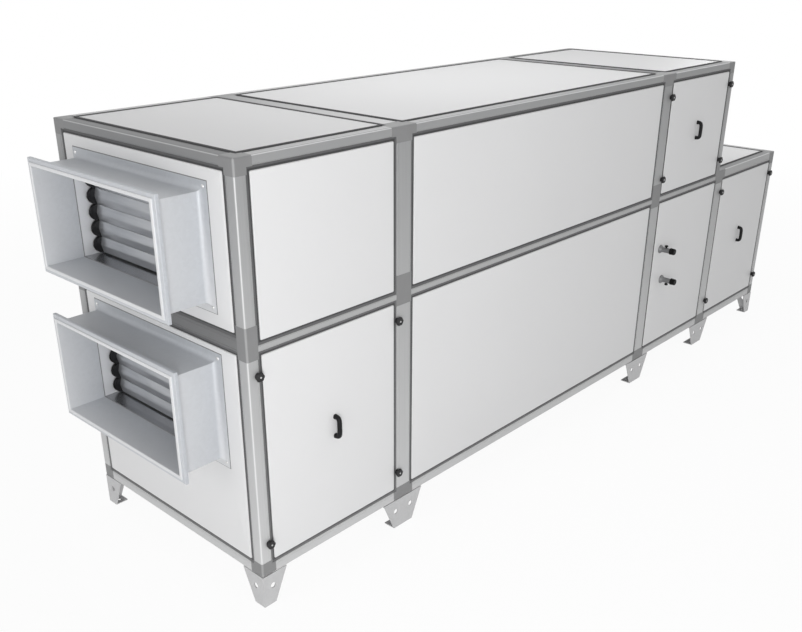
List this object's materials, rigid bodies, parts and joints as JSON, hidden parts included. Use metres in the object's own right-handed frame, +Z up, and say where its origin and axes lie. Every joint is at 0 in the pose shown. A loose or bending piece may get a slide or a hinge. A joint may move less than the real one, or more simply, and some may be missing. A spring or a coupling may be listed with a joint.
{
  "type": "air handling unit",
  "caption": "Two-tier air handling unit: aluminium frame with insulated panels and clamp-on doors on folded feet, with flanged duct spigots and geared louvre dampers at one end.",
  "frame": {"origin": "on the floor under the middle of the unit's overall box, between the duct flanges and the far end", "axes": "+X along the length, away from the duct spigots; +Y from the service side with the doors to the back; +Z up"},
  "size_m": [4.297, 1.135, 1.633],
  "materials": {
    "panel": "satin powder coat",
    "frame_profile": "extruded, matt anodised",
    "corner_piece": "moulded, fine grain",
    "seal": "matt",
    "door_fitting": "moulded black",
    "pipe": "dull galvanised",
    "pipe_cap": "moulded black",
    "foot_plate": "galvanised sheet",
    "spigot_sheet": "galvanised sheet",
    "damper_frame": "galvanised sheet",
    "blade": "extruded, bright",
    "gear": "moulded black"
  },
  "bodies": {
    "casing": {"corner_posts": "frame_profile", "mullions": "frame_profile", "bottom_rails": "frame_profile", "middle_rails": "frame_profile", "top_rails": "frame_profile", "frame_corners": "corner_piece", "panel_seals": "seal", "section_1_upper_panel": "panel", "section_1_door": "panel", "section_2_upper_panel": "panel", "section_2_lower_panel": "panel", "section_3_door": "panel", "section_3_coil_panel": "panel", "section_4_door": "panel", "back_panels": "panel", "roof_panels": "panel", "floor_panels": "panel", "duct_end_panels": "panel", "far_end_panels": "panel", "door_handles": "door_fitting", "door_knobs": "door_fitting", "coil_pipes": "pipe", "coil_pipe_caps": "pipe_cap", "feet": "foot_plate", "duct_spigots": "spigot_sheet", "damper_frames": "damper_frame"},
    "upper_damper_blade_1": {"upper_blade_1": "blade", "upper_gear_1": "gear"},
    "upper_damper_blade_2": {"upper_blade_2": "blade", "upper_gear_2": "gear"},
    "upper_damper_blade_3": {"upper_blade_3": "blade", "upper_gear_3": "gear"},
    "upper_damper_blade_4": {"upper_blade_4": "blade", "upper_gear_4": "gear"},
    "upper_damper_blade_5": {"upper_blade_5": "blade", "upper_gear_5": "gear"},
    "lower_damper_blade_1": {"lower_blade_1": "blade", "lower_gear_1": "gear"},
    "lower_damper_blade_2": {"lower_blade_2": "blade", "lower_gear_2": "gear"},
    "lower_damper_blade_3": {"lower_blade_3": "blade", "lower_gear_3": "gear"},
    "lower_damper_blade_4": {"lower_blade_4": "blade", "lower_gear_4": "gear"},
    "lower_damper_blade_5": {"lower_blade_5": "blade", "lower_gear_5": "gear"}
  },
  "joints": [
    {"name": "upper_damper_turn_1", "type": "hinge", "parent": "casing", "child": "upper_damper_blade_1", "pos_m": [-1.9305, 0.0525, 1.1858], "axis": [0, 1, 0], "range_deg": [0, 90]},
    {"name": "upper_damper_turn_2", "type": "hinge", "parent": "casing", "child": "upper_damper_blade_2", "pos_m": [-1.9305, 0.0525, 1.2468], "axis": [0, -1, 0], "range_deg": [0, 90]},
    {"name": "upper_damper_turn_3", "type": "hinge", "parent": "casing", "child": "upper_damper_blade_3", "pos_m": [-1.9305, 0.0525, 1.3078], "axis": [0, 1, 0], "range_deg": [0, 90]},
    {"name": "upper_damper_turn_4", "type": "hinge", "parent": "casing", "child": "upper_damper_blade_4", "pos_m": [-1.9305, 0.0525, 1.3688], "axis": [0, -1, 0], "range_deg": [0, 90]},
    {"name": "upper_damper_turn_5", "type": "hinge", "parent": "casing", "child": "upper_damper_blade_5", "pos_m": [-1.9305, 0.0525, 1.4298], "axis": [0, 1, 0], "range_deg": [0, 90]},
    {"name": "lower_damper_turn_1", "type": "hinge", "parent": "casing", "child": "lower_damper_blade_1", "pos_m": [-1.9305, 0.0525, 0.6073], "axis": [0, 1, 0], "range_deg": [0, 90]},
    {"name": "lower_damper_turn_2", "type": "hinge", "parent": "casing", "child": "lower_damper_blade_2", "pos_m": [-1.9305, 0.0525, 0.6683], "axis": [0, -1, 0], "range_deg": [0, 90]},
    {"name": "lower_damper_turn_3", "type": "hinge", "parent": "casing", "child": "lower_damper_blade_3", "pos_m": [-1.9305, 0.0525, 0.7293], "axis": [0, 1, 0], "range_deg": [0, 90]},
    {"name": "lower_damper_turn_4", "type": "hinge", "parent": "casing", "child": "lower_damper_blade_4", "pos_m": [-1.9305, 0.0525, 0.7903], "axis": [0, -1, 0], "range_deg": [0, 90]},
    {"name": "lower_damper_turn_5", "type": "hinge", "parent": "casing", "child": "lower_damper_blade_5", "pos_m": [-1.9305, 0.0525, 0.8513], "axis": [0, 1, 0], "range_deg": [0, 90]}
  ],
  "couplings": [
    {"joint": "upper_damper_turn_2", "follows": "upper_damper_turn_1", "ratio": 1},
    {"joint": "upper_damper_turn_3", "follows": "upper_damper_turn_1", "ratio": 1},
    {"joint": "upper_damper_turn_4", "follows": "upper_damper_turn_1", "ratio": 1},
    {"joint": "upper_damper_turn_5", "follows": "upper_damper_turn_1", "ratio": 1},
    {"joint": "lower_damper_turn_2", "follows": "lower_damper_turn_1", "ratio": 1},
    {"joint": "lower_damper_turn_3", "follows": "lower_damper_turn_1", "ratio": 1},
    {"joint": "lower_damper_turn_4", "follows": "lower_damper_turn_1", "ratio": 1},
    {"joint": "lower_damper_turn_5", "follows": "lower_damper_turn_1", "ratio": 1}
  ]
}
